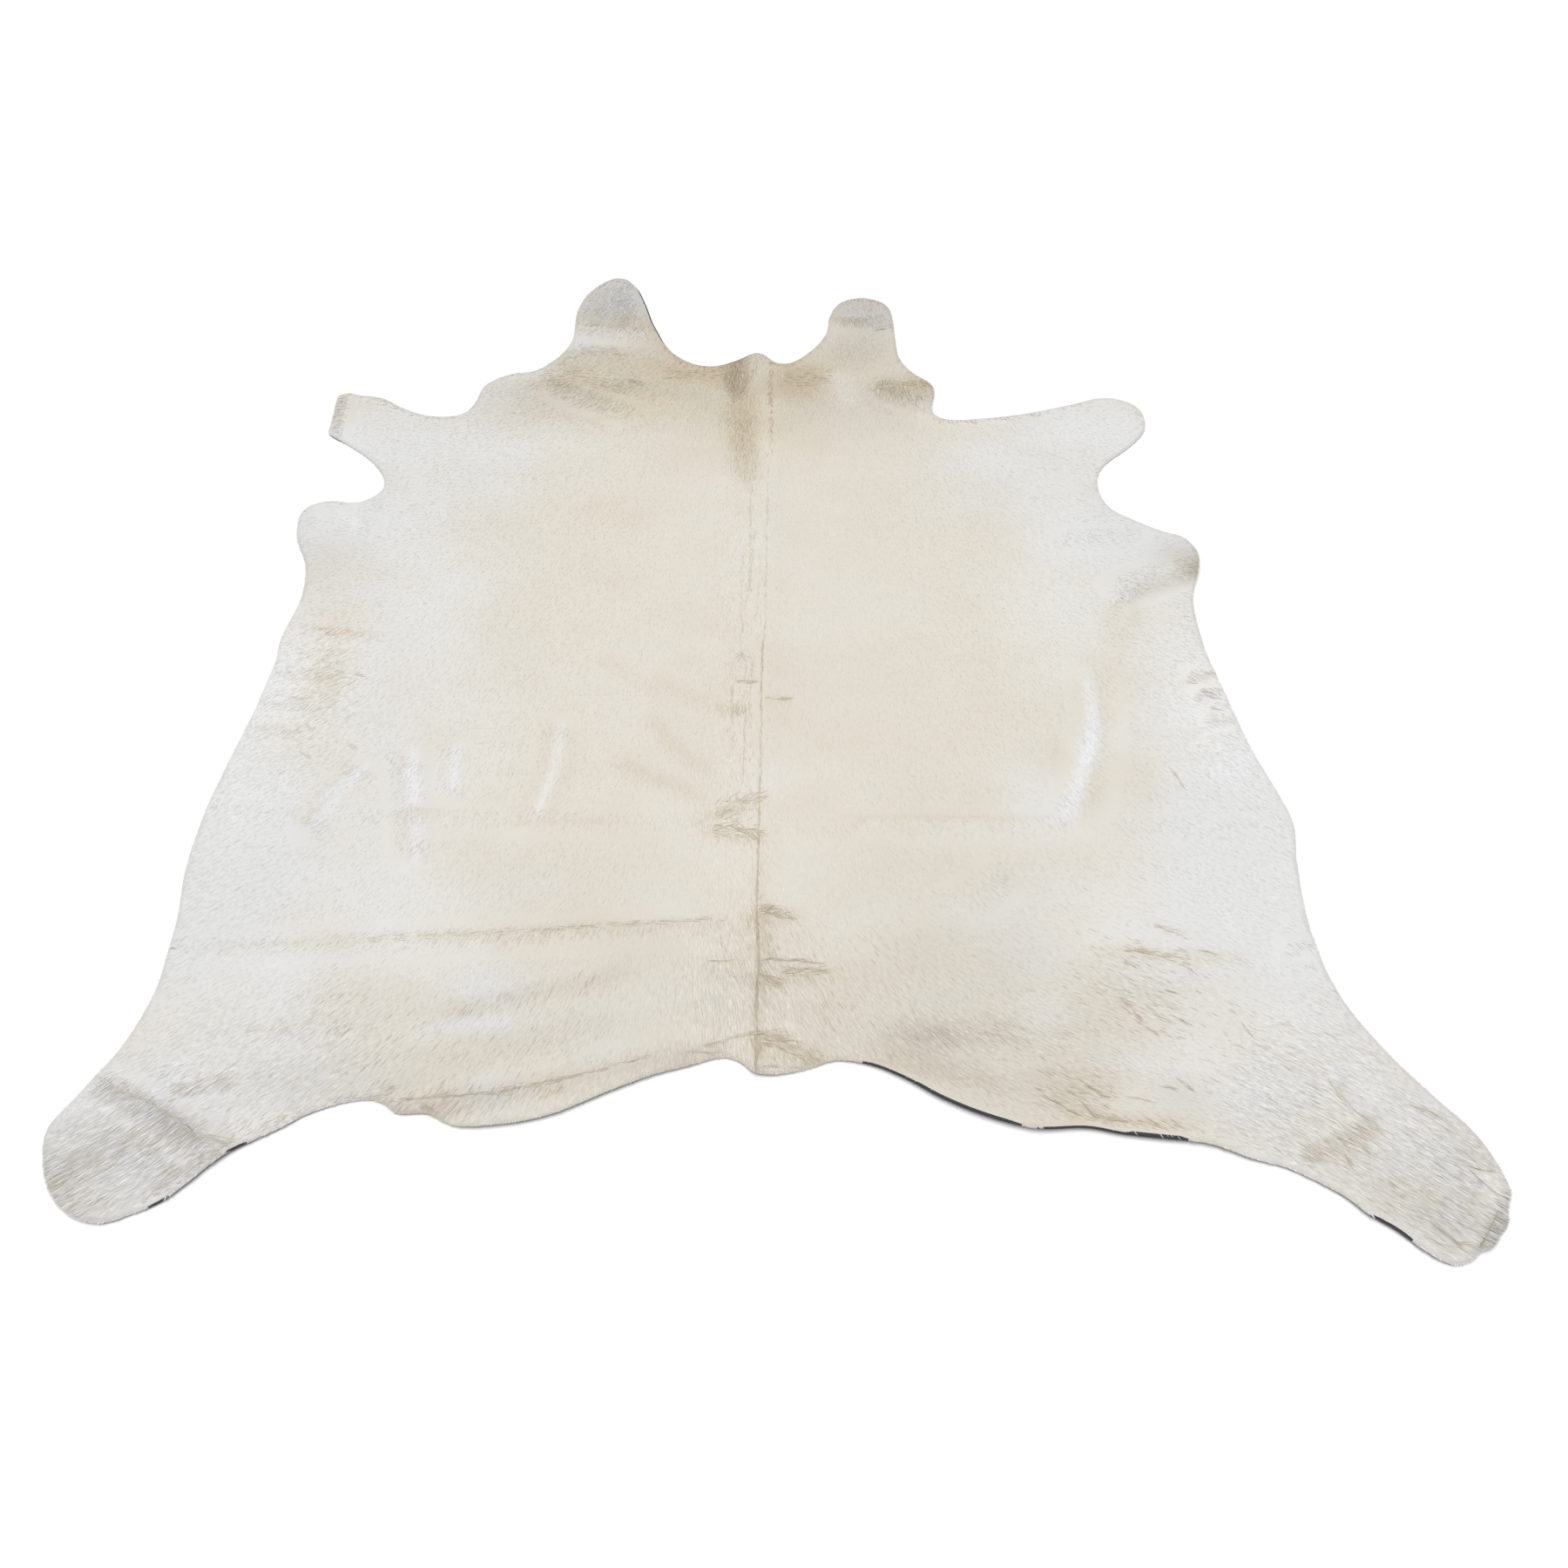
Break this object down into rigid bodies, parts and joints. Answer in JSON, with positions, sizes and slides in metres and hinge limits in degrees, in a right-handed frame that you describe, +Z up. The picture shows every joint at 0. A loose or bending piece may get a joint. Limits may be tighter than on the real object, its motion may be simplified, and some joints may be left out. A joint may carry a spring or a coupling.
{
  "type": "cowhide rug",
  "caption": "Flat one-piece cowhide rug with short cream hair: a whole hide with neck prongs, leg stubs, a tail stub and soft folds, for lying on a floor.",
  "frame": {"origin": "on the floor under the middle of the hide's box", "axes": "+Z up from the floor, +Y along the spine from the tail to the neck, +X to the right seen from the tail"},
  "size_m": [2.0878, 2.21, 0.0219],
  "materials": {
    "hair": "short cream to off-white cattle hair lying flat, softly glossy, greyer at the leg tips and warmer at the neck",
    "leather": "matt charcoal suede flesh side and cut edge"
  },
  "bodies": {
    "root": {"hide": "hair"}
  },
  "joints": []
}
